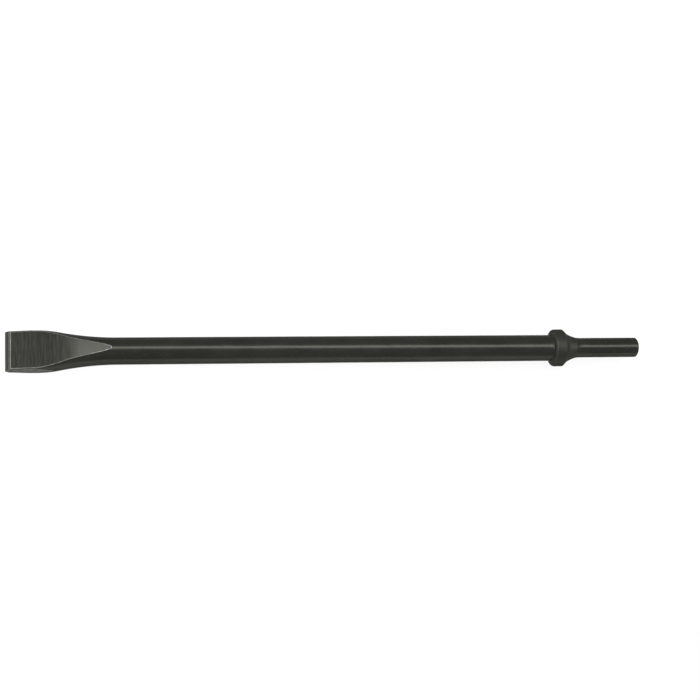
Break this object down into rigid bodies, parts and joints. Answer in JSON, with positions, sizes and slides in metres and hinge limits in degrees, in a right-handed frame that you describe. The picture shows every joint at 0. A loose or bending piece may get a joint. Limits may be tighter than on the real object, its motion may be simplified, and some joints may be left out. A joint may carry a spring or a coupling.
{
  "type": "cold chisel",
  "caption": "Flat cold chisel bit for a hand-held air hammer: wide bevelled blade, round bar, upset collar, hollow taper and straight round struck shank, one forging",
  "frame": {"origin": "centre of the struck end of the shank, on the tool's axis, at the mount struck_end", "axes": "X runs along the tool, with the struck end at X = 0 and the cutting edge at -X; Y runs across the blade, along the cutting edge; +Z is the outward side of the blade's upper broad face"},
  "size_m": [0.325, 0.0202, 0.0192],
  "materials": {
    "black_oxide_steel": "semi-matt black oxide"
  },
  "bodies": {
    "root": {"chisel": "black_oxide_steel"}
  },
  "joints": []
}
